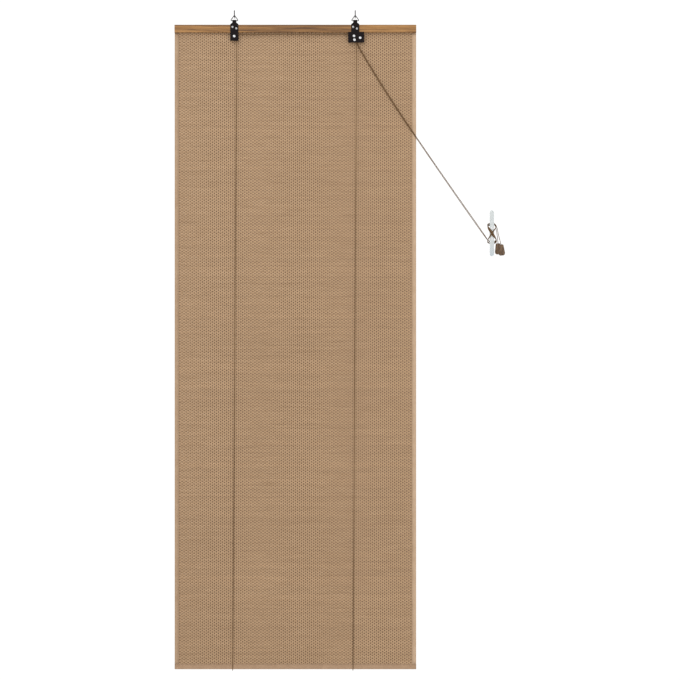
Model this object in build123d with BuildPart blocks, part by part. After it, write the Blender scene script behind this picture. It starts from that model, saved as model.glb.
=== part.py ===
from build123d import *
import os
from math import asin, atan2, cos, degrees, pi, radians, sin, tan

os.makedirs("parts", exist_ok=True)

# Frame: X to the right, Y into the wall, Z up, millimetres.
# Origin: halfway between the two wall hooks, on the wall plane, at the height
# of the hooks' straight shanks.

# ---------------------------------------------------------------- dimensions
blind_w = 600.0          # width over the edge binding
blind_drop = 1600.0      # headrail top to bottom hem
panel_x = 1.5            # the panel hangs this far right of the hooks' middle
top_z = -20.7            # top edge of the headrail

hook_x = 150.0           # half the spacing of the two hooks
hook_d = 2.4             # hook wire
hook_core = 1.9          # core of its thread
hook_in = 22.0           # threaded length in the wall
leg_y = -25.4            # upturned leg of the hook
leg_top = 15.5

ring_d = 1.9             # wire of the triangular ring
ring_y = -20.5
ring_bar_z = -10.1       # base bar, the swing axis
ring_apex_z = 2.37
ring_half = 8.35         # half width on the wire's centre line

mat_t = 1.6
mat_front = -20.8
mat_back = mat_front + mat_t
rail_h = 19.0
rail_t = 9.0
strip_t = 4.0
tape_w = 10.5
tape_t = 0.5
hem_h = 13.0
batten_h = 11.0
batten_t = 4.0

sheet_t = 1.2            # bracket sheet steel
plate_w = 20.0
neck_w = 10.0
plate_front = mat_front - rail_t - sheet_t
plate_low = -60.2
lip_back = -23.0

axle_l = (-150.2, -49.2)     # left pulley
axle_a = (146.9, -48.5)      # lock, upper roller
axle_b = (148.2, -58.2)      # lock, lower roller
axle_c = (162.3, -53.2)      # lock, cam
lock_x0, lock_x1 = 132.5, 171.8
lock_top, lock_low = -40.3, -64.6

cord_d = 1.5
lane_r = 4.2                 # cord centre line round a roller
lane_front, lane_mid, lane_back = -28.2, -26.4, -24.6
guide_l = (-144.3, lane_mid)

cleat_x, cleat_z = 489.6, -538.0
cleat_len, cleat_w = 114.0, 10.7
cleat_screw = 12.8           # half the spacing of the cleat's screws

x0, x1 = panel_x - blind_w / 2, panel_x + blind_w / 2
rail_low = top_z - rail_h
low_z = top_z - blind_drop


def save(part, label):
    part.label = label
    export_step(part, f"parts/{label}.step")


def wrap(c, r, h0, h1, n):
    """Corners of the polygon of n turns round circle c, from heading h0 to h1 in degrees."""
    d = radians((h1 - h0) / n)
    side = 1 if d > 0 else -1
    out = []
    for i in range(n):
        h = radians(h0) + i * d
        nx, nz = -sin(h) * side, cos(h) * side
        step = r * tan(abs(d) / 2)
        out.append((c[0] - r * nx + step * cos(h), c[1] - r * nz + step * sin(h)))
    return out


# ------------------------------------------------------------------- hooks
def square_hook(x):
    with BuildPart() as body:
        with BuildLine() as path:
            FilletPolyline((x, 0, 0), (x, leg_y, 0), (x, leg_y, leg_top), radius=3.0)
        with BuildSketch(Plane(origin=(x, 0, 0), z_dir=(0, -1, 0))):
            Circle(hook_d / 2)
        sweep(path=path.line)
        fillet(body.faces().filter_by(Axis.Z).sort_by(Axis.Z)[-1].edges(), 0.8)
        # core of the thread, in the wall
        with BuildSketch(Plane.XZ):
            with Locations((x, 0)):
                Circle(hook_core / 2)
        extrude(amount=-hook_in)
        tip = body.faces().filter_by(Axis.Y).sort_by(Axis.Y)[-1]
        chamfer(tip.edges(), length=0.7)
    return body.part


save(square_hook(-hook_x), "hook_left")
save(square_hook(hook_x), "hook_right")


# ------------------------------------------------- triangular hanging rings
def triangle_ring(x):
    with BuildPart() as body:
        with BuildLine() as path:
            FilletPolyline(
                (x, ring_y, ring_bar_z),
                (x + ring_half, ring_y, ring_bar_z),
                (x + ring_half, ring_y, ring_bar_z + 2.2),
                (x + 1.0, ring_y, ring_apex_z),
                (x - 1.0, ring_y, ring_apex_z),
                (x - ring_half, ring_y, ring_bar_z + 2.2),
                (x - ring_half, ring_y, ring_bar_z),
                (x - 0.01, ring_y, ring_bar_z),
                radius=(1.0, 1.6, 1.0, 1.0, 1.6, 1.0),
            )
        with BuildSketch(Plane(origin=(x, ring_y, ring_bar_z), z_dir=(1, 0, 0))):
            Circle(ring_d / 2)
        sweep(path=path.line)
    return body.part


save(triangle_ring(-hook_x), "ring_left")
save(triangle_ring(hook_x), "ring_right")

# ---------------------------------------------------------------- headrail
with BuildPart() as headrail:
    with BuildSketch(Plane.YZ.offset(x0)):
        with Locations((mat_front - rail_t / 2, top_z - rail_h / 2)):
            Rectangle(rail_t, rail_h)
    extrude(amount=blind_w)
    fillet(headrail.edges().filter_by(Axis.X), 0.8)
save(headrail.part, "headrail")

with BuildPart() as back_strip:
    with BuildSketch(Plane.YZ.offset(x0)):
        with Locations((mat_back + strip_t / 2, top_z - rail_h / 2)):
            Rectangle(strip_t, rail_h)
    extrude(amount=blind_w)
    fillet(back_strip.edges().filter_by(Axis.X), 0.5)
    # pilot holes of the clamping nails
    with Locations(*[Location((panel_x + dx, mat_back + strip_t, top_z - rail_h / 2), (-90, 0, 0)) for dx in (-240, -80, 80, 240)]):
        Hole(radius=0.9, depth=strip_t)
save(back_strip.part, "back_strip")

with BuildPart() as rail_nails:
    with BuildSketch(Plane.XZ.offset(-(mat_back + strip_t))):
        with Locations(*[(panel_x + dx, top_z - rail_h / 2) for dx in (-240, -80, 80, 240)]):
            Circle(2.2)
    extrude(amount=-0.6)
    with BuildSketch(Plane.XZ.offset(-(mat_back + strip_t))):
        with Locations(*[(panel_x + dx, top_z - rail_h / 2) for dx in (-240, -80, 80, 240)]):
            Circle(0.85)
    extrude(amount=strip_t - 0.2)
save(rail_nails.part, "rail_nails")

# -------------------------------------------------- mat, binding and hem
mat_low = low_z + 1.2
with BuildPart() as mat:
    with BuildSketch(Plane.XY.offset(mat_low)):
        with Locations((panel_x, (mat_front + mat_back) / 2)):
            Rectangle(blind_w - 1.6, mat_t)
    extrude(amount=(top_z - 0.6) - mat_low)
save(mat.part, "mat")


def binding(side):
    """Fabric folded round the mat's long edge, below the headrail."""
    edge = x1 if side > 0 else x0
    with BuildPart() as body:
        with BuildSketch(Plane.XY.offset(low_z + hem_h + 0.2)):
            with BuildLine():
                Polyline(
                    (edge - side * tape_w, mat_front - 0.05 - tape_t),
                    (edge, mat_front - 0.05 - tape_t),
                    (edge, mat_back + 0.05 + tape_t),
                    (edge - side * tape_w, mat_back + 0.05 + tape_t),
                    (edge - side * tape_w, mat_back + 0.05),
                    (edge - side * tape_t, mat_back + 0.05),
                    (edge - side * tape_t, mat_front - 0.05),
                    (edge - side * tape_w, mat_front - 0.05),
                    close=True,
                )
            make_face()
        extrude(amount=(rail_low - 0.4) - (low_z + hem_h + 0.2))
    return body.part


save(binding(-1), "edge_tape_left")
save(binding(1), "edge_tape_right")

batten_y = mat_back + 0.1
with BuildPart() as bottom_batten:
    with BuildSketch(Plane.YZ.offset(x0 + 1.5)):
        with Locations((batten_y + batten_t / 2, low_z + 0.9 + batten_h / 2)):
            Rectangle(batten_t, batten_h)
    extrude(amount=blind_w - 3.0)
    fillet(bottom_batten.edges().filter_by(Axis.X), 0.8)
save(bottom_batten.part, "bottom_batten")

hem_f, hem_b = mat_front - 0.05, batten_y + batten_t + 0.05
with BuildPart() as hem_tape:
    with BuildSketch(Plane.YZ.offset(x0)) as hem_sk:
        with BuildLine():
            Polyline(
                (hem_f - tape_t, low_z + hem_h),
                (hem_f - tape_t, low_z),
                (hem_b + tape_t, low_z),
                (hem_b + tape_t, low_z + hem_h),
                (hem_b, low_z + hem_h),
                (hem_b, low_z + tape_t),
                (hem_f, low_z + tape_t),
                (hem_f, low_z + hem_h),
                close=True,
            )
        make_face()
    extrude(amount=blind_w)
    fillet(hem_tape.edges().filter_by(Axis.X).group_by(Axis.Z)[0], 0.45)
save(hem_tape.part, "hem_tape")


# ------------------------------------------ hanging plate and lock bracket
def bracket(x, low, half_left, half_right, box_top):
    """Sheet steel bracket. It lies on the headrail's face, leans back over the rail's
    top edge and is rolled round the ring's base bar. Below the rail it ends in a lip."""
    mid_y = plate_front + sheet_t / 2
    knee = top_z + 0.5
    roll = ring_d / 2 + 0.05
    d = ((ring_y - mid_y) ** 2 + (ring_bar_z - knee) ** 2) ** 0.5
    lean = atan2(ring_bar_z - knee, ring_y - mid_y) + asin((roll + sheet_t / 2) / d)
    ux, uz = cos(lean), sin(lean)
    run = (d * d - (roll + sheet_t / 2) ** 2) ** 0.5
    tx, tz = mid_y + run * ux, knee + run * uz
    h = sheet_t / 2
    wide = half_left + half_right
    with BuildPart() as body:
        with BuildSketch(Plane.YZ.offset(x - half_left)) as side:
            with BuildLine():
                Polyline(
                    (plate_front, low),
                    (lip_back, low),
                    (lip_back, low + sheet_t),
                    (plate_front + sheet_t, low + sheet_t),
                    (plate_front + sheet_t, knee - h * tan((pi / 2 - lean) / 2)),
                    (tx + h * uz, tz - h * ux),
                    (tx - h * uz, tz + h * ux),
                    (plate_front, knee + h * tan((pi / 2 - lean) / 2)),
                    close=True,
                )
            make_face()
            with Locations((ring_y, ring_bar_z)):
                Circle(roll + sheet_t)
            with Locations((ring_y, ring_bar_z)):
                Circle(roll, mode=Mode.SUBTRACT)
            # open seam of the roll, at the back and below
            with Locations(Location((ring_y + 1.2, ring_bar_z - 1.2), 45)):
                Rectangle(0.35, 2.6, rotation=0, mode=Mode.SUBTRACT)
        extrude(amount=wide)
        # front outline
        with BuildSketch(Plane.XZ.offset(40)) as outline:
            with BuildLine():
                Polyline(
                    (x - neck_w / 2, ring_bar_z + 5),
                    (x - neck_w / 2, top_z + 5.7),
                    (x - plate_w / 2, top_z + 1.6),
                    (x - plate_w / 2, box_top),
                    (x - half_left, box_top),
                    (x - half_left, low - 1),
                    (x + half_right, low - 1),
                    (x + half_right, box_top),
                    (x + plate_w / 2, box_top),
                    (x + plate_w / 2, top_z + 1.6),
                    (x + neck_w / 2, top_z + 5.7),
                    (x + neck_w / 2, ring_bar_z + 5),
                    close=True,
                ) if half_left > plate_w / 2 else Polyline(
                    (x - neck_w / 2, ring_bar_z + 5),
                    (x - neck_w / 2, top_z + 5.7),
                    (x - plate_w / 2, top_z + 1.6),
                    (x - plate_w / 2, low - 1),
                    (x + plate_w / 2, low - 1),
                    (x + plate_w / 2, top_z + 1.6),
                    (x + neck_w / 2, top_z + 5.7),
                    (x + neck_w / 2, ring_bar_z + 5),
                    close=True,
                )
            make_face()
            fillet([v for v in outline.vertices() if abs(v.Z - (top_z + 1.6)) < 0.1], 2.6)
            fillet([v for v in outline.vertices() if abs(v.Z - (top_z + 5.7)) < 0.1], 1.2)
        extrude(amount=-60, mode=Mode.INTERSECT)
    return body.part


left_raw = bracket(-hook_x, plate_low, plate_w / 2, plate_w / 2, top_z)
left_screws = [(-154.6, -26.2), (-144.9, -29.9)]
with BuildPart() as hanger_plate_left:
    add(left_raw)
    with BuildSketch(Plane.XZ.offset(-plate_front + 1)):
        with Locations(*left_screws):
            Circle(1.55)
        with Locations(axle_l):
            Circle(1.6)
    extrude(amount=-4, mode=Mode.SUBTRACT)
    # smooth cord hole through the lip, and the two rounded lower corners
    with BuildSketch(Plane.XY.offset(plate_low - 2)):
        with Locations(guide_l):
            Circle(1.7)
    extrude(amount=5, mode=Mode.SUBTRACT)
save(hanger_plate_left.part, "hanger_plate_left")

lock_raw = bracket(hook_x, lock_low, hook_x - lock_x0, lock_x1 - hook_x, lock_top + 1.5)
lock_screws = [(144.7, -26.2), (154.1, -30.4)]
with BuildPart() as lock_plate:
    add(lock_raw)
    with BuildSketch(Plane.XZ.offset(-plate_front + 1)):
        with Locations(*lock_screws):
            Circle(1.55)
        with Locations(axle_a, axle_b, axle_c):
            Circle(1.6)
        # the two small notches in the lower edge
        with Locations((143.0, lock_low), (157.2, lock_low)):
            Rectangle(1.6, 1.2)
    extrude(amount=-4, mode=Mode.SUBTRACT)
    # cord slot through the lip
    with BuildSketch(Plane.XY.offset(lock_low - 2)):
        with Locations((153.1, (lane_front + lane_back) / 2)):
            RectangleRounded(5.4, 5.7, 1.2)
    extrude(amount=5, mode=Mode.SUBTRACT)
save(lock_plate.part, "lock_plate")

lock_rear_y = lip_back
with BuildPart() as lock_back:
    with BuildSketch(Plane.XZ.offset(-lock_rear_y)):
        with Locations(((lock_x0 + lock_x1) / 2, (lock_top + lock_low) / 2)):
            RectangleRounded(lock_x1 - lock_x0, lock_top - lock_low, 1.5)
        with Locations(axle_a, axle_b, axle_c):
            Circle(1.6, mode=Mode.SUBTRACT)
    extrude(amount=-0.8)
save(lock_back.part, "lock_back")

# ------------------------------------------------ screws, rivets, rollers
with BuildPart() as plate_screws:
    with BuildSketch(Plane.XZ.offset(-plate_front)):
        with Locations(*left_screws, *lock_screws):
            Circle(2.75)
    extrude(amount=1.5)
    fillet(plate_screws.faces().filter_by(Axis.Y).group_by(Axis.Y)[0].edges(), 1.2)
    with BuildSketch(Plane.XZ.offset(-plate_front)):
        with Locations(*left_screws, *lock_screws):
            Circle(1.45)
    extrude(amount=-sheet_t)
    # cross recess
    with BuildSketch(Plane.XZ.offset(-plate_front + 2)):
        with Locations(*left_screws, *lock_screws):
            Rectangle(2.8, 0.6, rotation=30)
            Rectangle(0.6, 2.8, rotation=30)
    extrude(amount=-1.4, mode=Mode.SUBTRACT)
save(plate_screws.part, "plate_screws")


def rivet_group(spots, tail_from, tail_t):
    with BuildPart() as body:
        with BuildSketch(Plane.XZ.offset(-plate_front)):
            with Locations(*spots):
                Circle(3.4)
        extrude(amount=1.5)
        fillet(body.faces().filter_by(Axis.Y).group_by(Axis.Y)[0].edges(), 1.3)
        with BuildSketch(Plane.XZ.offset(-plate_front)):
            with Locations(*spots):
                Circle(1.5)
        extrude(amount=-(tail_from - plate_front))
        with BuildSketch(Plane.XZ.offset(-tail_from)):
            with Locations(*spots):
                Circle(2.5)
        extrude(amount=-tail_t)
    return body.part


roller_y0, roller_y1 = -29.5, -23.3
save(rivet_group([axle_l], roller_y1 + 0.2, 0.9), "pulley_rivet_left")
save(rivet_group([axle_a, axle_b, axle_c], lock_rear_y + 0.8, 0.6), "lock_rivets")


def roller(c, flange_r):
    bore = 1.55
    g = lane_r - cord_d / 2 - 0.15
    with BuildPart() as body:
        with BuildSketch(Plane(origin=(c[0], 0, c[1]), x_dir=(1, 0, 0), z_dir=(0, 0, 1))):
            with BuildLine():
                Polyline(
                    (bore, roller_y0), (flange_r, roller_y0), (flange_r, roller_y0 + 0.45),
                    (g, roller_y0 + 0.55), (g, roller_y1 - 0.55),
                    (flange_r, roller_y1 - 0.45), (flange_r, roller_y1), (bore, roller_y1), close=True,
                )
            make_face()
        revolve(axis=Axis((c[0], 0, c[1]), (0, 1, 0)))
    return body.part


save(roller(axle_l, 5.6), "pulley_left")
save(roller(axle_a, 4.6), "roller_upper")
save(roller(axle_b, 4.6), "roller_lower")

cam_r = 8.2
with BuildPart() as lock_cam:
    with BuildSketch(Plane.XZ.offset(-roller_y0 - 0.3)) as cam_sk:
        with Locations(axle_c):
            Circle(3.6)
        with BuildLine():
            # toothed nose towards the cords
            pts = []
            for i in range(7):
                a = radians(212 - i * 9)
                r = cam_r if i % 2 else cam_r - 0.6
                pts.append((axle_c[0] + r * cos(a), axle_c[1] + r * sin(a)))
            Polyline((axle_c[0] - 0.4, axle_c[1] - 3.5), *pts, (axle_c[0] - 0.4, axle_c[1] + 3.5), close=True)
        make_face()
        # counterweight tail that swings the nose up against the cords
        with Locations((axle_c[0] + 4.3, axle_c[1] - 0.4)):
            Rectangle(8.0, 6.4)
        with Locations(axle_c):
            Circle(1.55, mode=Mode.SUBTRACT)
    extrude(amount=-(roller_y1 - roller_y0 - 0.6))
save(lock_cam.part, "lock_cam")

# ------------------------------------------------------------------ cleat
bar_t = 9.0
base_out = 13.0
with BuildPart() as cleat:
    # base foot against the wall
    with BuildSketch(Plane.XZ):
        with Locations((cleat_x, cleat_z)):
            RectangleRounded(cleat_w, 34.0, 3.0)
    extrude(amount=base_out + 2)
    # bar with two horns, seen from the side
    with BuildSketch(Plane.YZ.offset(cleat_x - cleat_w / 2)):
        with BuildLine():
            Spline(
                (-16.6, cleat_z + cleat_len / 2),
                (-13.4, cleat_z + 40),
                (-12.6, cleat_z + 20),
                (-13.0, cleat_z),
                (-12.6, cleat_z - 20),
                (-13.4, cleat_z - 40),
                (-16.6, cleat_z - cleat_len / 2),
            )
            Line((-16.6, cleat_z - cleat_len / 2), (-21.0, cleat_z - cleat_len / 2))
            Spline(
                (-21.0, cleat_z - cleat_len / 2),
                (-20.2, cleat_z - 40),
                (-21.4, cleat_z - 18),
                (-22.0, cleat_z),
                (-21.4, cleat_z + 18),
                (-20.2, cleat_z + 40),
                (-21.0, cleat_z + cleat_len / 2),
            )
            Line((-21.0, cleat_z + cleat_len / 2), (-16.6, cleat_z + cleat_len / 2))
        make_face()
    extrude(amount=cleat_w)
    # rounded ends of the horns, seen from the front
    with BuildSketch(Plane.XZ.offset(-10)):
        with Locations((cleat_x, cleat_z)):
            SlotOverall(cleat_len, cleat_w, rotation=90)
    extrude(amount=50, mode=Mode.INTERSECT)
    # two screw holes with countersinks
    with BuildSketch(Plane.XZ.offset(30)):
        with Locations((cleat_x, cleat_z + cleat_screw), (cleat_x, cleat_z - cleat_screw)):
            Circle(1.95)
    extrude(amount=-40, mode=Mode.SUBTRACT)
    for s in (1, -1):
        with BuildSketch(Plane.XZ.offset(21.9)):
            with Locations((cleat_x, cleat_z + s * cleat_screw)):
                Circle(3.7)
        with BuildSketch(Plane.XZ.offset(19.6)):
            with Locations((cleat_x, cleat_z + s * cleat_screw)):
                Circle(1.95)
        loft(mode=Mode.SUBTRACT)
save(cleat.part, "cleat")

with BuildPart() as cleat_screws:
    spots = [(cleat_x, cleat_z + cleat_screw), (cleat_x, cleat_z - cleat_screw)]
    with BuildSketch(Plane.XZ.offset(21.0)):
        with Locations(*spots):
            Circle(1.9)
    extrude(amount=-21.0)
    with BuildSketch(Plane.XZ):
        with Locations(*spots):
            Circle(1.6)
    extrude(amount=-20.0)
    for s in spots:
        with BuildSketch(Plane.XZ.offset(21.5)):
            with Locations(s):
                Circle(3.25)
        with BuildSketch(Plane.XZ.offset(20.15)):
            with Locations(s):
                Circle(1.9)
        loft()
    chamfer(cleat_screws.faces().filter_by(Axis.Y).group_by(Axis.Y)[-1].edges(), length=0.9)
    with BuildSketch(Plane.XZ.offset(22.0)):
        with Locations(*spots):
            Rectangle(3.4, 0.7)
            Rectangle(0.7, 3.4)
    extrude(amount=-1.4, mode=Mode.SUBTRACT)
save(cleat_screws.part, "cleat_screws")


# ------------------------------------------------------------------ cords
def corner_radii(points, fixed):
    """0.45 of the shorter run over the tangent of half the turn, or the size of the
    roller or edge that the cord goes round."""
    out = []
    for i in range(1, len(points) - 1):
        a, b, c = (Vector(*points[k]) for k in (i - 1, i, i + 1))
        turn = (b - a).get_angle(c - b)
        r = 0.45 * min((b - a).length, (c - b).length) / tan(radians(turn / 2))
        if i in fixed:
            r = fixed[i]
        out.append(min(r, 4000.0))
    return out


def tube(label, points, fixed):
    radii = corner_radii(points, fixed)
    with BuildPart() as body:
        with BuildLine() as path:
            FilletPolyline(*points, radius=radii)
        line = path.wires()[0]
        with BuildSketch(Plane(origin=points[0], z_dir=Vector(*points[1]) - Vector(*points[0]))):
            Circle(cord_d / 2)
        sweep(path=line)
    print(label, "length", round(line.length, 1), "volume/(section x length)",
          round(body.part.volume / (pi * cord_d ** 2 / 4 * line.length), 4),
          "radii", [round(r, 1) for r in radii])
    save(body.part, label)
    return line


rear_y = -13.9           # rear run, behind the strip and the hem
under_z = low_z - 3.1
front_y = -22.6
knot_z = -26.5
rear_l, rear_r = -154.6, 144.2

# left cord, from its knot behind the headrail to the mat's right edge
in_l = 140.05
left_wrap = wrap(axle_l, lane_r, in_l, 0.13, 2)
ext = degrees(atan2(axle_b[1] - axle_a[1], axle_b[0] - axle_a[0]))
a_left = wrap(axle_a, lane_r, 0.13, ext, 1)
split_l = (301.5 + 0.8, -23.0, -299.9)
split_r = (301.5 - 0.8, -23.0, -300.9)
cord_l_pts = [
    (rear_l, rear_y, knot_z),
    (rear_l, rear_y, under_z),
    (rear_l + 0.4, front_y, under_z),
    (guide_l[0], lane_mid, plate_low + 0.4),
    (left_wrap[0][0], lane_mid, left_wrap[0][1]),
    (left_wrap[1][0], lane_mid, left_wrap[1][1]),
    (a_left[0][0], lane_mid, a_left[0][1]),
    (153.55, lane_mid, -66.6),
    (190.9, -25.6, -128.4),
    (245.8, -24.2, -215.9),
    split_l,
]
tube("cord_left", cord_l_pts, {1: 4.0, 2: 4.0, 3: 5.5, 4: lane_r, 5: lane_r, 6: lane_r, 7: 9.0})

# right cord: up the front, nearly once round the upper roller, over the lower one and out
up_r = 180 + ext
cross = ext + degrees(asin(2 * lane_r / ((axle_a[0] - axle_b[0]) ** 2 + (axle_a[1] - axle_b[1]) ** 2) ** 0.5))
a_right = wrap(axle_a, lane_r, up_r, cross + 360, 4)
b_right = wrap(axle_b, lane_r, cross, -87.0, 1)
cord_r_pts = [
    (rear_r, rear_y, knot_z),
    (rear_r, rear_y, under_z),
    (rear_r + 0.3, front_y, under_z),
    (153.2, lane_front, -64.2),
    (a_right[0][0], lane_front, a_right[0][1]),
    (a_right[1][0], lane_front, a_right[1][1]),
    (a_right[2][0], lane_front, a_right[2][1]),
    (a_right[3][0], -26.7, a_right[3][1]),
    (b_right[0][0], lane_back, b_right[0][1]),
    (152.75, lane_back, -67.4),
    (189.1, -24.4, -129.6),
    (244.2, -24.0, -217.0),
    split_r,
]
tube("cord_right", cord_r_pts, {1: 4.0, 2: 4.0, 3: 30.0, 4: lane_r, 5: lane_r, 6: lane_r, 7: lane_r, 8: lane_r, 9: 9.0})

# pull ends: on to the cleat, round both horns crosswise, and down to the tassels
tail_l_pts = [
    split_l,
    (389.8, -18.4, -426.3),
    (473.6, -13.4, -544.6),
    (482.2, -9.6, -559.8),
    (497.2, -9.5, -560.0),
    (501.5, -16.6, -555.0),
    (494.0, -23.7, -545.7),
    (484.0, -23.7, -531.5),
    (478.0, -16.6, -521.2),
    (482.2, -9.6, -516.0),
    (497.4, -9.5, -515.8),
    (501.0, -16.8, -521.0),
    (495.2, -25.3, -531.3),
    (485.2, -25.3, -545.5),
    (477.1, -17.2, -558.8),
    (482.2, -9.6, -563.4),
    (497.2, -9.5, -563.6),
    (502.5, -16.6, -558.6),
    (496.5, -26.9, -543.8),
    (486.5, -26.9, -529.6),
    (477.2, -16.6, -517.6),
    (482.2, -9.6, -512.4),
    (497.4, -9.5, -512.2),
    (503.0, -14.0, -524.6),
    (505.2, -21.6, -541.4),
    (512.0, -27.2, -566.0),
]
tail_r_pts = [
    split_r,
    (388.2, -18.4, -427.6),
    (471.8, -13.0, -546.2),
    (482.2, -11.2, -558.0),
    (497.2, -11.1, -558.2),
    (501.0, -16.6, -553.2),
    (492.7, -23.7, -546.6),
    (482.7, -23.7, -532.4),
    (478.4, -16.6, -523.0),
    (482.2, -11.2, -517.8),
    (497.4, -11.1, -517.6),
    (500.6, -16.8, -522.8),
    (494.0, -25.3, -530.3),
    (484.0, -25.3, -544.5),
    (477.6, -17.2, -557.0),
    (482.2, -11.2, -561.6),
    (497.2, -11.1, -561.8),
    (502.0, -16.6, -556.8),
    (495.2, -26.9, -544.7),
    (485.2, -26.9, -530.5),
    (477.6, -16.6, -519.4),
    (482.2, -11.2, -514.2),
    (497.4, -11.1, -514.0),
    (500.4, -11.0, -527.4),
    (503.4, -9.6, -544.0),
    (505.2, -9.4, -562.8),
]
tube("cord_left_pull", tail_l_pts, {})
tube("cord_right_pull", tail_r_pts, {})


# knots behind the headrail, staples that hold the cords to the strip
def knot(x):
    with BuildPart() as body:
        with BuildSketch(Plane(origin=(x, rear_y, 0), x_dir=(1, 0, 0), z_dir=(0, -1, 0))):
            with BuildLine():
                Polyline((0, knot_z), (0.9, knot_z), (1.7, knot_z + 0.8))
                RadiusArc((1.7, knot_z + 0.8), (1.3, knot_z + 3.6), -2.6)
                Polyline((1.3, knot_z + 3.6), (0.5, knot_z + 4.1), (0, knot_z + 4.1), (0, knot_z))
            make_face()
        revolve(axis=Axis((x, rear_y, 0), (0, 0, 1)))
    return body.part


save(knot(rear_l), "cord_knot_left")
save(knot(rear_r), "cord_knot_right")

strip_back = mat_back + strip_t
with BuildPart() as cord_staples:
    for cx in (rear_l, rear_r):
        with BuildLine() as legs:
            FilletPolyline(
                (cx - 1.8, strip_back, knot_z - 2.0),
                (cx - 1.8, rear_y + 1.35, knot_z - 2.0),
                (cx + 1.8, rear_y + 1.35, knot_z - 2.0),
                (cx + 1.8, strip_back, knot_z - 2.0),
                radius=0.9,
            )
        with BuildSketch(Plane(origin=(cx - 1.8, strip_back, knot_z - 2.0), z_dir=(0, 1, 0))):
            Circle(0.45)
        sweep(path=legs.line)
save(cord_staples.part, "cord_staples")


# ---------------------------------------------------------------- tassels
def tassel(top, lean_x, lean_y):
    """Turned wooden bell. Its axis hangs down from the cord's end."""
    plane = Plane(origin=top, x_dir=(1, 0, 0), z_dir=(lean_x, lean_y, 1))
    face = Plane(origin=top, x_dir=plane.x_dir, z_dir=-plane.y_dir)
    with BuildPart() as body:
        with BuildSketch(face):
            with BuildLine():
                Polyline((0.0, 0.0), (4.8, 0.0), (5.7, -0.9))
                Spline((5.7, -0.9), (6.3, -5.0), (7.2, -12.0), (8.0, -18.5), (8.2, -21.3), (7.5, -24.4), (5.8, -26.6), (4.4, -27.4))
                Polyline((4.4, -27.4), (3.4, -27.4), (3.4, -22.8), (0.0, -22.8), (0.0, 0.0))
            make_face()
        revolve(axis=Axis(top, plane.z_dir))
    return body.part


save(tassel(tail_r_pts[-1], -0.02, 0.0), "tassel_back")
save(tassel(tail_l_pts[-1], -0.08, 0.0), "tassel_front")
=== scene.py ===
import bpy
import math
import random
import numpy as np
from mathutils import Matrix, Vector


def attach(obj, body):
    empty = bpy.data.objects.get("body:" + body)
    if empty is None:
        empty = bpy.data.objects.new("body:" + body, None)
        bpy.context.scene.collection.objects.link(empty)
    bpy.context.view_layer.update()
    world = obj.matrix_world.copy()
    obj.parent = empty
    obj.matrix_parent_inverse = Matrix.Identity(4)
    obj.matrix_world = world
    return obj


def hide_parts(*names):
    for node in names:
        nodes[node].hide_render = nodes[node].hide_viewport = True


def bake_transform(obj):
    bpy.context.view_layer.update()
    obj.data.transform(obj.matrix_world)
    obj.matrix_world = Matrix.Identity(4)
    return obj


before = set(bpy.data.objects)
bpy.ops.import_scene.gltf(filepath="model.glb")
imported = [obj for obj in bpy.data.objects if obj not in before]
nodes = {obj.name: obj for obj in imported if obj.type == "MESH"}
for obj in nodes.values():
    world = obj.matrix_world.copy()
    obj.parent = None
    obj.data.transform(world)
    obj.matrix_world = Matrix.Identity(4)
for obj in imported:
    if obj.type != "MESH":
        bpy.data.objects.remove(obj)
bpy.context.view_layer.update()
scene = bpy.context.scene
rng = random.Random(7)

# ------------------------------------------------------------------ sizes (m)
X0, X1 = -0.2985, 0.3015          # panel over the binding
RAIL_LOW, LOW = -0.0397, -1.6207
MAT_F, MAT_B = -0.0208, -0.0192
CORD_D = 0.0015


def srgb(r, g, b):
    out = []
    for v in (r, g, b):
        v /= 255.0
        out.append(v / 12.92 if v <= 0.04045 else ((v + 0.055) / 1.055) ** 2.4)
    return (out[0], out[1], out[2], 1.0)


def lit(r, g, b, k=1.0):
    """A colour for this studio's light level."""
    c = srgb(r, g, b)
    return (c[0] * k, c[1] * k, c[2] * k, 1.0)


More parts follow.
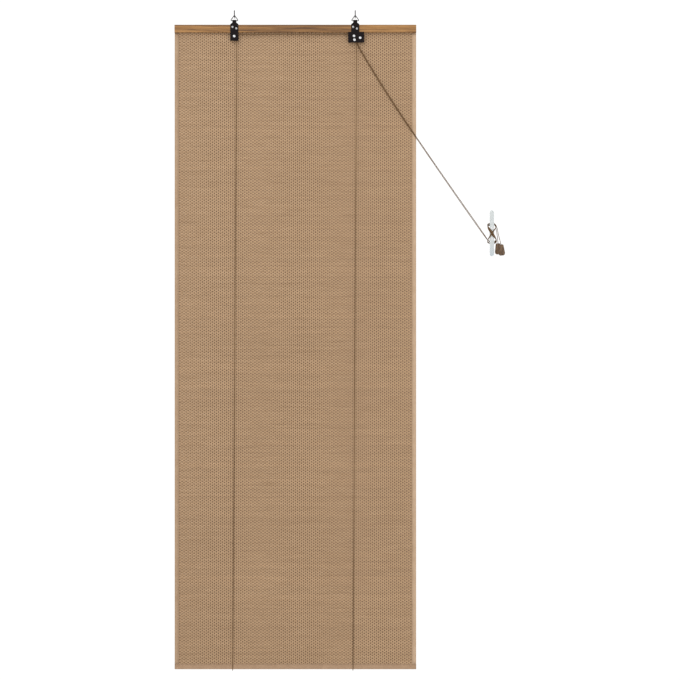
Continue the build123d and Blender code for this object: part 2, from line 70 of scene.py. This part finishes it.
# ------------------------------------------------------------------ materials
class Mat:
    """A procedural material on a Principled shader."""

    def __init__(self, name, rough, metal=0.0, **more):
        self.m = bpy.data.materials.new(name)
        self.m.use_nodes = True
        self.t = self.m.node_tree
        self.b = next(n for n in self.t.nodes if n.type == "BSDF_PRINCIPLED")
        self.b.inputs["Roughness"].default_value = rough
        self.b.inputs["Metallic"].default_value = metal
        for k, v in more.items():
            self.b.inputs[k.replace("_", " ")].default_value = v

    def node(self, kind, **props):
        n = self.t.nodes.new(kind)
        for k, v in props.items():
            if k in n.inputs:
                n.inputs[k].default_value = v
            else:
                setattr(n, k, v)
        return n

    def link(self, a, b):
        self.t.links.new(a, b)

    def coords(self, scale=(1, 1, 1), rotate=(0, 0, 0), source="Object", offset=(0, 0, 0)):
        c = self.node("ShaderNodeTexCoord")
        p = self.node("ShaderNodeMapping", Scale=scale, Rotation=rotate, Location=offset)
        self.link(c.outputs[source], p.inputs["Vector"])
        return p.outputs["Vector"]

    def noise(self, vec, scale, detail=4.0, rough=0.55, distortion=0.0):
        n = self.node("ShaderNodeTexNoise")
        n.inputs["Scale"].default_value = scale
        n.inputs["Detail"].default_value = detail
        n.inputs["Roughness"].default_value = rough
        n.inputs["Distortion"].default_value = distortion
        self.link(vec, n.inputs["Vector"])
        return n.outputs["Fac"]

    def ramp(self, fac, stops):
        r = self.node("ShaderNodeValToRGB")
        e = r.color_ramp.elements
        while len(e) < len(stops):
            e.new(0.5)
        for i, (pos, col) in enumerate(stops):
            e[i].position = pos
            e[i].color = col
        self.link(fac, r.inputs["Fac"])
        return r.outputs["Color"]

    def mix(self, fac, a, b, kind="MIX"):
        n = self.t.nodes.new("ShaderNodeMixRGB")
        n.blend_type = kind
        for v, s in ((fac, "Fac"), (a, "Color1"), (b, "Color2")):
            if isinstance(v, (int, float, tuple)):
                n.inputs[s].default_value = v
            else:
                self.link(v, n.inputs[s])
        return n.outputs["Color"]

    def math(self, op, a, b=0.0, clamp=False):
        n = self.t.nodes.new("ShaderNodeMath")
        n.operation = op
        n.use_clamp = clamp
        for i, v in enumerate((a, b)):
            if isinstance(v, (int, float)):
                n.inputs[i].default_value = v
            else:
                self.link(v, n.inputs[i])
        return n.outputs[0]

    def colour(self, out):
        self.link(out, self.b.inputs["Base Color"])
        return self

    def bump(self, out, height, strength=0.6):
        n = self.node("ShaderNodeBump")
        n.inputs["Strength"].default_value = strength
        n.inputs["Distance"].default_value = height
        self.link(out, n.inputs["Height"])
        self.link(n.outputs["Normal"], self.b.inputs["Normal"])
        return self


def rail_wood(name, light, mid, dark, middle_dark):
    """Long grain along X; the middle stretch between the brackets is darker."""
    m = Mat(name, 0.42, Coat_Weight=0.12, Coat_Roughness=0.3)
    v = m.coords((3.0, 90, 90))
    base = m.ramp(m.noise(v, 2.2, 6, 0.62, 0.8), [(0.34, dark), (0.5, mid), (0.64, light)])
    fine = m.ramp(m.noise(m.coords((9, 520, 520)), 2.0, 4, 0.6), [(0.36, (0.58, 0.54, 0.50, 1)), (0.58, (1, 1, 1, 1))])
    col = m.mix(1.0, base, fine, "MULTIPLY")
    if middle_dark < 1.0:
        sep = m.node("ShaderNodeSeparateXYZ")
        m.link(m.coords(), sep.inputs[0])
        wob = m.math("MULTIPLY", m.noise(m.coords((1, 20, 20)), 9.0, 2), 0.05)
        x = m.math("ADD", m.math("ABSOLUTE", m.math("ADD", sep.outputs["X"], -0.005)), wob)
        edge = m.node("ShaderNodeMapRange")
        edge.inputs["From Min"].default_value = 0.14
        edge.inputs["From Max"].default_value = 0.19
        edge.inputs["To Min"].default_value = 1.0
        edge.inputs["To Max"].default_value = 0.0
        m.link(x, edge.inputs["Value"])
        d = middle_dark
        dark_col = m.mix(1.0, col, (d, d * 0.97, d * 0.93, 1), "MULTIPLY")
        col = m.mix(edge.outputs["Result"], col, dark_col)
    m.colour(col)
    m.bump(m.noise(m.coords((8, 500, 500)), 2.0, 3), 0.0002, 0.4)
    return m.m


def cloth(name, light, dark, thread):
    m = Mat(name, 0.9, Sheen_Weight=0.15, Sheen_Roughness=0.5)
    warp = m.node("ShaderNodeTexWave", wave_type="BANDS", bands_direction="X")
    weft = m.node("ShaderNodeTexWave", wave_type="BANDS", bands_direction="Z")
    for n in (warp, weft):
        n.inputs["Scale"].default_value = 1.0 / thread / 6.2832 * math.pi
        n.inputs["Distortion"].default_value = 0.6
        n.inputs["Detail"].default_value = 1.0
        m.link(m.coords(), n.inputs["Vector"])
    weave = m.math("MULTIPLY", warp.outputs["Fac"], weft.outputs["Fac"])
    tone = m.ramp(m.noise(m.coords((9, 9, 9)), 7.0, 5, 0.6), [(0.3, dark), (0.7, light)])
    # The weave darkens the colour in the gaps between threads: painted shade.
    m.colour(m.mix(0.35, tone, m.mix(weave, (0.72, 0.70, 0.68, 1), (1, 1, 1, 1)), "MULTIPLY"))
    m.bump(weave, 0.00012, 0.6)
    return m.m


def bamboo_slat():
    m = Mat("bamboo_slat", 0.5, Coat_Weight=0.05)
    geo = m.node("ShaderNodeNewGeometry")
    grain = m.noise(m.coords((10, 900, 900)), 2.0, 5, 0.6)
    tone = m.ramp(grain, [(0.3, lit(156, 123, 88)), (0.5, lit(181, 147, 111)), (0.7, lit(196, 162, 125))])
    each = m.ramp(geo.outputs["Random Per Island"], [(0.0, (0.91, 0.90, 0.89, 1)), (0.5, (0.96, 0.96, 0.955, 1)), (1.0, (1.01, 1.0, 0.99, 1))])
    patch = m.ramp(m.noise(m.coords((1, 1, 1)), 3.0, 2), [(0.3, (0.95, 0.945, 0.94, 1)), (0.7, (1.0, 1.0, 1.0, 1))])
    m.colour(m.mix(1.0, m.mix(1.0, tone, each, "MULTIPLY"), patch, "MULTIPLY"))
    m.bump(grain, 0.00008, 0.5)
    return m.m


def yarn():
    m = Mat("weaving_yarn", 0.85, Sheen_Weight=0.1)
    twist = m.node("ShaderNodeTexWave", wave_type="BANDS", bands_direction="DIAGONAL")
    twist.inputs["Scale"].default_value = 700
    twist.inputs["Distortion"].default_value = 1.0
    m.link(m.coords(), twist.inputs["Vector"])
    # The twist bands darken the colour in the grooves between plies: painted shade.
    tone = m.ramp(twist.outputs["Fac"], [(0.2, lit(70, 46, 27)), (0.8, lit(108, 78, 51))])
    m.colour(m.mix(0.35, tone, m.ramp(m.noise(m.coords(), 60.0, 3), [(0.3, (0.8, 0.8, 0.8, 1)), (0.7, (1, 1, 1, 1))]), "MULTIPLY"))
    m.bump(twist.outputs["Fac"], 0.0001, 0.5)
    return m.m


def braid():
    """Braided cord: two crossing families of plaits in the tube's own UV."""
    m = Mat("braided_cord", 0.85, Specular_IOR_Level=0.25)
    sep = m.node("ShaderNodeSeparateXYZ")
    m.link(m.coords((1, 1, 1), source="UV"), sep.inputs[0])
    u, v = sep.outputs["X"], sep.outputs["Y"]
    fam = []
    for s in (1.0, -1.0):
        a = m.math("ADD", m.math("MULTIPLY", u, 4.0 * s), v)
        fam.append(m.math("SINE", m.math("MULTIPLY", a, 6.28318)))
    plait = m.math("MULTIPLY", fam[0], fam[1])
    h = m.math("ADD", m.math("MULTIPLY", plait, 0.5), 0.5)
    # The colour follows the plait height, darker in the troughs between plaits: painted shade.
    tone = m.ramp(h, [(0.1, lit(72, 50, 29)), (0.55, lit(114, 86, 55)), (0.9, lit(148, 116, 80))])
    m.colour(m.mix(0.5, tone, m.ramp(m.noise(m.coords(), 140.0, 3), [(0.3, (0.75, 0.73, 0.72, 1)), (0.7, (1, 1, 1, 1))]), "MULTIPLY"))
    m.bump(h, 0.00018, 0.8)
    return m.m


def dark_wood():
    m = Mat("tassel_wood", 0.45, Coat_Weight=0.1)
    tone = m.ramp(m.noise(m.coords((160, 160, 26)), 2.0, 5, 0.6, 0.8), [(0.3, lit(50, 33, 20)), (0.5, lit(98, 72, 48)), (0.7, lit(140, 110, 78))])
    m.colour(tone)
    m.bump(m.noise(m.coords((600, 600, 80)), 2.0, 3), 0.00015, 0.4)
    return m.m


def metal(name, base, rough, wear=0.12):
    m = Mat(name, rough, 1.0)
    n = m.noise(m.coords(), 900.0, 4)
    lo = tuple(c * (1 - wear) for c in base[:3]) + (1,)
    m.colour(m.ramp(n, [(0.3, lo), (0.7, base)]))
    r = m.node("ShaderNodeMapRange")
    r.inputs["To Min"].default_value = rough * 0.75
    r.inputs["To Max"].default_value = rough * 1.3
    m.link(m.noise(m.coords(), 350.0, 3), r.inputs["Value"])
    m.link(r.outputs["Result"], m.b.inputs["Roughness"])
    return m.m


def enamel():
    m = Mat("black_enamel", 0.5, 0.0, Specular_IOR_Level=0.12)
    m.colour(m.ramp(m.noise(m.coords(), 260.0, 4), [(0.3, (0.0050, 0.0026, 0.0030, 1)), (0.7, (0.0095, 0.0055, 0.0062, 1))]))
    m.bump(m.noise(m.coords(), 1500.0, 2), 0.00004, 0.5)
    return m.m


def pale_plastic():
    m = Mat("pale_plastic", 0.22, 0.0, IOR=1.42, Transmission_Weight=0.18)
    sep = m.node("ShaderNodeSeparateXYZ")
    m.link(m.coords(), sep.inputs[0])
    low = m.node("ShaderNodeMapRange")
    low.inputs["From Min"].default_value = -0.600
    low.inputs["From Max"].default_value = -0.560
    m.link(sep.outputs["Z"], low.inputs["Value"])
    cloud = m.ramp(m.noise(m.coords(), 45.0, 2), [(0.3, srgb(219, 224, 224)), (0.7, srgb(225, 230, 229))])
    m.colour(m.mix(low.outputs["Result"], m.mix(1.0, cloud, srgb(238, 245, 252), "MULTIPLY"), cloud))
    return m.m


def nylon():
    m = Mat("white_nylon", 0.45, 0.0, Subsurface_Weight=0.1, Subsurface_Scale=0.002)
    m.colour(m.ramp(m.noise(m.coords(), 400.0, 3), [(0.3, srgb(214, 212, 205)), (0.7, srgb(232, 230, 224))]))
    return m.m


M_RAIL = rail_wood("rail_wood", lit(186, 136, 76), lit(160, 113, 57), lit(106, 67, 29), 0.74)
M_BATTEN = rail_wood("batten_wood", lit(214, 180, 138), lit(198, 162, 120), lit(168, 130, 92), 1.0)
M_SLAT, M_YARN, M_CORD, M_TASSEL = bamboo_slat(), yarn(), braid(), dark_wood()
M_TAPE = cloth("binding_cloth", lit(188, 159, 129), lit(178, 147, 117), 0.0009)
# The right binding is the left binding's cloth painted lighter: painted light for the brighter light on the right
# edge.
M_TAPE_R_PAINTED_LIGHT = cloth("binding_cloth_right_painted_light", lit(206, 176, 146), lit(196, 165, 134), 0.0009)
M_HEM = cloth("hem_cloth", lit(184, 152, 122), lit(172, 140, 111), 0.0009)
M_THREAD = cloth("sewing_thread", lit(164, 130, 98), lit(146, 113, 84), 0.0004)
M_ZINC = metal("bright_zinc", (0.86, 0.86, 0.87, 1), 0.34)
M_SCREW = metal("dull_zinc", (0.55, 0.55, 0.56, 1), 0.4)
M_WIRE = metal("steel_wire", (0.06, 0.052, 0.052, 1), 0.36)
M_BLACK, M_CLEAT, M_NYLON = enamel(), pale_plastic(), nylon()

looks = {
    "headrail": M_RAIL, "back_strip": M_BATTEN, "bottom_batten": M_BATTEN,
    "hook_left": M_WIRE, "hook_right": M_WIRE, "ring_left": M_WIRE, "ring_right": M_WIRE,
    "rail_nails": M_WIRE, "cord_staples": M_WIRE, "lock_cam": M_WIRE,
    "hanger_plate_left": M_BLACK, "lock_plate": M_BLACK, "lock_back": M_BLACK,
    "plate_screws": M_SCREW, "pulley_rivet_left": M_ZINC, "lock_rivets": M_ZINC, "cleat_screws": M_ZINC,
    "pulley_left": M_NYLON, "roller_upper": M_NYLON, "roller_lower": M_NYLON,
    "cleat": M_CLEAT, "tassel_back": M_TASSEL, "tassel_front": M_TASSEL,
}
for name, mat in looks.items():
    o = nodes[name]
    if o.material_slots:
        for s in o.material_slots:
            s.material = mat
    else:
        o.data.materials.append(mat)


# ------------------------------------------------------------------- helpers
def mesh(name, verts, faces, mat, smooth=True, uv=None):
    me = bpy.data.meshes.new(name)
    me.from_pydata([tuple(map(float, v)) for v in verts], [], [tuple(int(i) for i in f) for f in faces])
    me.update()
    if smooth:
        me.polygons.foreach_set("use_smooth", [True] * len(me.polygons))
    if uv is not None:
        layer = me.uv_layers.new(name="UVMap")
        layer.data.foreach_set("uv", np.asarray(uv, dtype=float).ravel())
    o = bpy.data.objects.new(name, me)
    scene.collection.objects.link(o)
    me.materials.append(mat)
    return o


def ring_tube(rings, base=0):
    """Faces of a closed tube through rings of equal size, with flat ends."""
    n, k = len(rings), len(rings[0])
    verts = [v for r in rings for v in r]
    faces = []
    for i in range(n - 1):
        for j in range(k):
            a, b = base + i * k + j, base + i * k + (j + 1) % k
            faces.append((a, b, b + k, a + k))
    faces.append(tuple(base + j for j in reversed(range(k))))
    faces.append(tuple(base + (n - 1) * k + j for j in range(k)))
    return verts, faces


def spline_points(points, per_span=14):
    """The points of one smooth NURBS curve whose control points are the route."""
    cu = bpy.data.curves.new("route", "CURVE")
    cu.dimensions = "3D"
    sp = cu.splines.new("NURBS")
    sp.points.add(len(points) - 1)
    for p, q in zip(sp.points, points):
        p.co = (q[0], q[1], q[2], 1.0)
    sp.order_u = 3
    sp.use_endpoint_u = True
    sp.resolution_u = per_span
    ob = bpy.data.objects.new("route", cu)
    scene.collection.objects.link(ob)
    bpy.context.view_layer.update()
    dg = bpy.context.evaluated_depsgraph_get()
    me = bpy.data.meshes.new_from_object(ob.evaluated_get(dg))
    out = [v.co.copy() for v in me.vertices]
    bpy.data.meshes.remove(me)
    bpy.data.objects.remove(ob)
    bpy.data.curves.remove(cu)
    return out


def tube(name, line, radius, sides, mat, lay=0.0024, taper=True):
    """Mesh tube along a line of points, with a turning-free frame and UVs round and along."""
    pts = [line[0]]
    for p in line[1:]:
        if (p - pts[-1]).length > 1e-5:
            pts.append(p)
    t = (pts[1] - pts[0]).normalized()
    side = t.orthogonal().normalized()
    rings, run = [], [0.0]
    for i, p in enumerate(pts):
        a = pts[max(i - 1, 0)]
        b = pts[min(i + 1, len(pts) - 1)]
        t = (b - a).normalized()
        side = (side - t * side.dot(t)).normalized()
        up = t.cross(side)
        if i:
            run.append(run[-1] + (p - pts[i - 1]).length)
        rings.append([p + (side * math.cos(2 * math.pi * j / sides) + up * math.sin(2 * math.pi * j / sides)) * radius for j in range(sides)])
    verts, faces = ring_tube(rings)
    uv = []
    for f in faces[:-2]:
        for n, v in enumerate(f):
            i, j = divmod(v, sides)
            u = (f[0] % sides + (1 if n in (1, 2) else 0)) / sides
            uv.append((u, run[i] / lay))
    for f in faces[-2:]:
        uv += [(0.1, 0.1)] * len(f)
    return mesh(name, verts, faces, mat, uv=uv), pts


# ------------------------------------------------------------------ bamboo mat
N_SLAT = 465
Z_TOP, Z_LOW = -0.0213, -1.6195
pitch = (Z_TOP - Z_LOW) / N_SLAT
mid_y = (MAT_F + MAT_B) / 2
mx0, mx1 = X0 + 0.0008, X1 - 0.0008

section = []
h1, h0 = pitch * 0.503, pitch * 0.25
for y, z in ((-0.0001, h1), (-0.0004, h0), (-0.0004, -h0), (-0.0001, -h1), (0.0001, -h1), (0.0004, -h0), (0.0004, h0), (0.0001, h1)):
    section.append((y, z))

verts, faces = [], []
for i in range(N_SLAT):
    zc = Z_TOP - (i + 0.5) * pitch
    e0, e1 = rng.uniform(0, 0.0005), rng.uniform(0, 0.0005)
    rings = []
    cuts = 9
    for c in range(cuts + 1):
        x = mx0 + e0 + (mx1 - e1 - mx0 - e0) * c / cuts
        wide = 1.0 + rng.uniform(0.0, 0.012)
        thick = 1.0 + rng.uniform(-0.12, 0.0)
        rings.append([(x, mid_y + y * thick, zc + z * wide) for y, z in section])
    v, f = ring_tube(rings, len(verts))
    verts += v
    faces += f
slats = mesh("mat_slats", verts, faces, M_SLAT, smooth=False)
slats_flat = slats

COLS = 119
yarn_pieces = []
step = 0.00503
first = (X0 + X1) / 2 - step * (COLS - 1) / 2
half_w, half_t = 0.0012, 0.0002
groups = 5
per = math.ceil(COLS / groups)
for g in range(groups):
    verts, faces = [], []
    for c in range(g * per, min((g + 1) * per, COLS)):
        x = first + c * step + rng.uniform(-0.0001, 0.0001)
        rings = []
        for i in range(N_SLAT):
            front = (i + c) % 2 == 0
            y = mid_y + (-0.0006 if front else 0.0006)
            z = Z_TOP - (i + 0.5) * pitch
            wx = x + rng.uniform(-0.00006, 0.00006)
            rings.append([(wx - half_w, y, z), (wx, y - half_t, z), (wx + half_w, y, z), (wx, y + half_t, z)])
        v, f = ring_tube(rings, len(verts))
        verts += v
        faces += f
    yarn_pieces.append(mesh(f"mat_yarn_{g + 1}", verts, faces, M_YARN))

for o in [slats] + yarn_pieces:
    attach(o, "blind")
    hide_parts("mat")


# ------------------------------------------------------- binding, hem, stitches
def stitch_row(start, end, out, pitch_m=0.0042, length=0.0030, r=0.00022):
    """Sewing stitches from start to end, lying on the cloth towards out."""
    start, end, out = Vector(start), Vector(end), Vector(out)
    d = (end - start)
    n = int(d.length / pitch_m)
    d.normalize()
    side = d.cross(out).normalized()
    verts, faces = [], []
    for i in range(n):
        a = start + d * (i * pitch_m + 0.0006)
        rings = []
        for t, w, lift in ((0.0, 0.4, -0.00012), (0.2, 1.0, 0.00008), (0.8, 1.0, 0.00008), (1.0, 0.4, -0.00012)):
            p = a + d * (length * t) + out * lift
            rings.append([p + side * (r * w), p + out * (r * w), p - side * (r * w), p - out * (r * w)])
        v, f = ring_tube(rings, len(verts))
        verts += v
        faces += f
    return verts, faces


def join(parts):
    verts, faces = [], []
    for v, f in parts:
        k = len(verts)
        verts += v
        faces += [tuple(i + k for i in q) for q in f]
    return verts, faces


def band(profile, axis, lo, hi, cuts, wobble):
    """A cloth strip with thickness: a closed profile carried along an axis, slightly uneven."""
    rings = []
    for c in range(cuts + 1):
        s = lo + (hi - lo) * c / cuts
        w = [wobble * math.sin(s * k + ph) for k, ph in ((37.0, 0.4), (91.0, 1.9))]
        ring = []
        for a, b, give in profile:
            d = (w[0] + 0.6 * w[1]) * give
            ring.append((a + d, b, s) if axis == "Z" else (s, a, b + d))
        rings.append(ring)
    return ring_tube(rings)


TW, TT = 0.0105, 0.0005
f_out, b_out = MAT_F - 0.00055, MAT_B + 0.00055
f_in, b_in = f_out + 0.00045, b_out - 0.00045
zt0, zt1 = LOW + 0.0132, RAIL_LOW - 0.0004
for sname, side, edge in (("left", -1, X0), ("right", 1, X1)):
    i = edge - side * TW
    k = 0.0007
    prof = [(i, f_out, 1), (edge - side * k, f_out, 0.2), (edge - side * 0.0001, f_out + k, 0), (edge - side * 0.0001, b_out - k, 0),
            (edge - side * k, b_out, 0.2), (i, b_out, 1), (i, b_in, 1), (edge - side * 0.0011, b_in, 0.2), (edge - side * 0.00055, b_in - 0.0004, 0),
            (edge - side * 0.00055, f_in + 0.0004, 0), (edge - side * 0.0011, f_in, 0.2), (i, f_in, 1)]
    if side > 0:
        prof = prof[::-1]
    v, f = band(prof, "Z", zt0, zt1, 180, 0.00012)
    # The right binding takes the lighter copy of the cloth, which is painted light.
    tape = mesh(f"binding_{sname}", v, f, M_TAPE if side < 0 else M_TAPE_R_PAINTED_LIGHT)
    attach(tape, "blind")
    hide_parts(f"edge_tape_{sname}")
    sx = i + side * 0.0018
    rows = [stitch_row((sx, f_out, zt1 - 0.002), (sx, f_out, zt0), (0, -1, 0)), stitch_row((sx, b_out, zt1 - 0.002), (sx, b_out, zt0), (0, 1, 0))]
    v, f = join(rows)
    st = mesh(f"binding_stitches_{sname}", v, f, M_THREAD)
    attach(st, "blind")

hy0, hy1 = -0.02135, -0.01455
ht = LOW + 0.013
r = 0.0012
prof = [(hy0, ht, 1), (hy0, LOW + r, 0), (hy0 + r * 0.3, LOW + r * 0.3, 0), (hy0 + r, LOW, 0), (hy1 - r, LOW, 0), (hy1 - r * 0.3, LOW + r * 0.3, 0),
        (hy1, LOW + r, 0), (hy1, ht, 1), (hy1 - TT, ht, 1), (hy1 - TT, LOW + r, 0), (hy1 - r, LOW + TT, 0), (hy0 + r, LOW + TT, 0),
        (hy0 + TT, LOW + r, 0), (hy0 + TT, ht, 1)]
v, f = band(prof[::-1], "X", X0, X1, 120, 0.00012)
hem = mesh("hem", v, f, M_HEM)
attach(hem, "blind")
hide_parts("hem_tape")
zs = ht - 0.0016
v, f = join([stitch_row((X0 + 0.001, hy0, zs), (X1 - 0.001, hy0, zs), (0, -1, 0)), stitch_row((X0 + 0.001, hy1, zs), (X1 - 0.001, hy1, zs), (0, 1, 0))])
st = mesh("hem_stitches", v, f, M_THREAD)
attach(st, "blind")

# ---------------------------------------------------------------------- cords
LEFT = [
    (-0.15460, -0.01390, -0.02650),
    (-0.15460, -0.01390, -1.61480),
    (-0.15460, -0.01390, -1.62380),
    (-0.15420, -0.02260, -1.62380),
    (-0.15414, -0.02262, -1.61480),
    (-0.14436, -0.02638, -0.06880),
    (-0.14430, -0.02640, -0.05980),
    (-0.15515, -0.02640, -0.05053),
    (-0.15315, -0.02640, -0.04501),
    (-0.14415, -0.02640, -0.04499),
    (0.14157, -0.02640, -0.04431),
    (0.15057, -0.02640, -0.04429),
    (0.15355, -0.02640, -0.06660),
    (0.19090, -0.02560, -0.12840),
    (0.24580, -0.02420, -0.21590),
    (0.30230, -0.02300, -0.29990),
    (0.38980, -0.01840, -0.42630),
    (0.47360, -0.01340, -0.54460),
    (0.48220, -0.00960, -0.55980),
    (0.49720, -0.00950, -0.56000),
    (0.50150, -0.01660, -0.55500),
    (0.49396, -0.02370, -0.54568),
    (0.48396, -0.02370, -0.53148),
    (0.47800, -0.01660, -0.52120),
    (0.48220, -0.00960, -0.51600),
    (0.49740, -0.00950, -0.51580),
    (0.50100, -0.01680, -0.52100),
    (0.49524, -0.02530, -0.53128),
    (0.48524, -0.02530, -0.54548),
    (0.47710, -0.01720, -0.55880),
    (0.48220, -0.00960, -0.56340),
    (0.49720, -0.00950, -0.56360),
    (0.50250, -0.01660, -0.55860),
    (0.49652, -0.02690, -0.54376),
    (0.48652, -0.02690, -0.52956),
    (0.47720, -0.01660, -0.51760),
    (0.48220, -0.00960, -0.51240),
    (0.49740, -0.00950, -0.51220),
    (0.50300, -0.01400, -0.52460),
    (0.50520, -0.02160, -0.54140),
    (0.51200, -0.02720, -0.56600),
]
RIGHT = [
    (0.14420, -0.01390, -0.02650),
    (0.14420, -0.01390, -1.61480),
    (0.14420, -0.01390, -1.62380),
    (0.14450, -0.02260, -1.62380),
    (0.14455, -0.02263, -1.61480),
    (0.15315, -0.02817, -0.07320),
    (0.15320, -0.02820, -0.06420),
    (0.15074, -0.02820, -0.04555),
    (0.14628, -0.02820, -0.04369),
    (0.14244, -0.02820, -0.04661),
    (0.14302, -0.02670, -0.05141),
    (0.15226, -0.02460, -0.05537),
    (0.15275, -0.02460, -0.06740),
    (0.18910, -0.02440, -0.12960),
    (0.24420, -0.02400, -0.21700),
    (0.30070, -0.02300, -0.30090),
    (0.38820, -0.01840, -0.42760),
    (0.47180, -0.01300, -0.54620),
    (0.48220, -0.01120, -0.55800),
    (0.49720, -0.01110, -0.55820),
    (0.50100, -0.01660, -0.55320),
    (0.49268, -0.02370, -0.54664),
    (0.48268, -0.02370, -0.53244),
    (0.47840, -0.01660, -0.52300),
    (0.48220, -0.01120, -0.51780),
    (0.49740, -0.01110, -0.51760),
    (0.50060, -0.01680, -0.52280),
    (0.49396, -0.02530, -0.53032),
    (0.48396, -0.02530, -0.54452),
    (0.47760, -0.01720, -0.55700),
    (0.48220, -0.01120, -0.56160),
    (0.49720, -0.01110, -0.56180),
    (0.50200, -0.01660, -0.55680),
    (0.49524, -0.02690, -0.54472),
    (0.48524, -0.02690, -0.53052),
    (0.47760, -0.01660, -0.51940),
    (0.48220, -0.01120, -0.51420),
    (0.49740, -0.01110, -0.51400),
    (0.50040, -0.01100, -0.52740),
    (0.50340, -0.00960, -0.54400),
    (0.50520, -0.00940, -0.56280),
]

for cname, route, length, tassel in (("left", LEFT, 4.41, "tassel_front"), ("right", RIGHT, 4.09, "tassel_back")):
    line = spline_points(route)
    rope, path = tube(f"lift_cord_{cname}", line, CORD_D / 2 * 1.054, 8, M_CORD)
    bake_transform(rope)
    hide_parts(f"cord_{cname}", f"cord_{cname}_pull")

    # overhand knot at the top of the rear run
    cx = route[0][0]
    kline = []
    turns = 44
    for i in range(turns + 1):
        a = 2 * math.pi * i / turns
        s = 0.00042
        kline.append(Vector((cx + s * (math.sin(a) + 2 * math.sin(2 * a)), -0.0139 + s * (math.cos(a) - 2 * math.cos(2 * a)), -0.0245 - 1.7 * s * math.sin(3 * a))))
    kt, _ = tube(f"knot_{cname}", kline[:-1] + [kline[-1]], 0.00062, 7, M_CORD)
    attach(kt, "blind")
    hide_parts(f"cord_knot_{cname}")


# -------------------------------------------------------------- screw threads
def thread(name, x, z, core, crest, y0, y1, lead, mat):
    """A helical ridge round a shank that runs along Y."""
    seg = 14
    n = int((y1 - y0) / lead * seg)
    rings = []
    for i in range(n + 1):
        a = 2 * math.pi * i / seg
        y = y0 + (y1 - y0) * i / n
        f = min(1.0, i / (seg * 0.8), (n - i) / (seg * 1.5))
        top = core - 0.00008 + (crest - core) * f
        w = lead * 0.30
        ring = []
        for rr, dy in ((core - 0.00012, -w), (top, 0.0), (core - 0.00012, w)):
            ring.append((x + rr * math.cos(a), y + dy, z + rr * math.sin(a)))
        rings.append(ring)
    v, f = ring_tube(rings)
    o = mesh(name, v, f, mat, smooth=False)
    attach(o, "wall_side")


thread("hook_thread_left", -0.150, 0.0, 0.00095, 0.0013, 0.0040, 0.0205, 0.0013, M_WIRE)
thread("hook_thread_right", 0.150, 0.0, 0.00095, 0.0013, 0.0040, 0.0205, 0.0013, M_WIRE)
for n, dz in (("upper", 0.0128), ("lower", -0.0128)):
    thread(f"cleat_thread_{n}", 0.4896, -0.538 + dz, 0.0016, 0.0021, 0.0010, 0.0192, 0.0014, M_ZINC)

# ------------------------------------------------------- floor, light, camera
m = Mat("pale_floor", 0.9)
m.colour(m.ramp(m.noise(m.coords(), 0.5, 2), [(0.3, (0.90, 0.90, 0.90, 1)), (0.7, (0.92, 0.92, 0.92, 1))]))
floor = mesh("floor", [(-9, -9, -1.80), (9, -9, -1.80), (9, 0.9, -1.80), (-9, 0.9, -1.80)], [(0, 1, 2, 3)], m.m, smooth=False)

world = bpy.data.worlds.new("studio")
scene.world = world
scene.view_settings.view_transform = "Standard"
world.use_nodes = True
bg = world.node_tree.nodes["Background"]
bg.inputs["Color"].default_value = (1, 1, 1, 1)
bg.inputs["Strength"].default_value = 0.72
wt = world.node_tree
white = wt.nodes.new("ShaderNodeBackground")
white.inputs["Color"].default_value = (1, 1, 1, 1)
white.inputs["Strength"].default_value = 1.06
seen = wt.nodes.new("ShaderNodeLightPath")
blend = wt.nodes.new("ShaderNodeMixShader")
wt.links.new(seen.outputs["Is Camera Ray"], blend.inputs[0])
wt.links.new(bg.outputs[0], blend.inputs[1])
wt.links.new(white.outputs[0], blend.inputs[2])
wt.links.new(blend.outputs[0], wt.nodes["World Output"].inputs["Surface"])


def softbox(name, loc, target, size, power):
    li = bpy.data.lights.new(name, "AREA")
    li.shape = "SQUARE"
    li.size = size
    li.energy = power
    ob = bpy.data.objects.new(name, li)
    scene.collection.objects.link(ob)
    ob.location = loc
    d = Vector(target) - Vector(loc)
    ob.rotation_euler = d.to_track_quat("-Z", "Y").to_euler()


softbox("key", (-1.4, -3.2, 2.0), (0, 0, -0.8), 2.6, 60)
softbox("fill", (2.2, -3.4, -0.6), (0, 0, -0.8), 2.2, 22)
softbox("back", (0.6, 3.4, 1.2), (0, 0, -0.8), 2.2, 30)

cam = bpy.data.cameras.new("camera")
cam.lens = 200
cam.sensor_width = 36
cam.clip_end = 60
co = bpy.data.objects.new("camera", cam)
scene.collection.objects.link(co)
co.location = (0.1122, -0.0208 - 1.6888 * 200 / 36, -0.8030)
co.rotation_euler = (math.pi / 2, 0, 0)
scene.camera = co
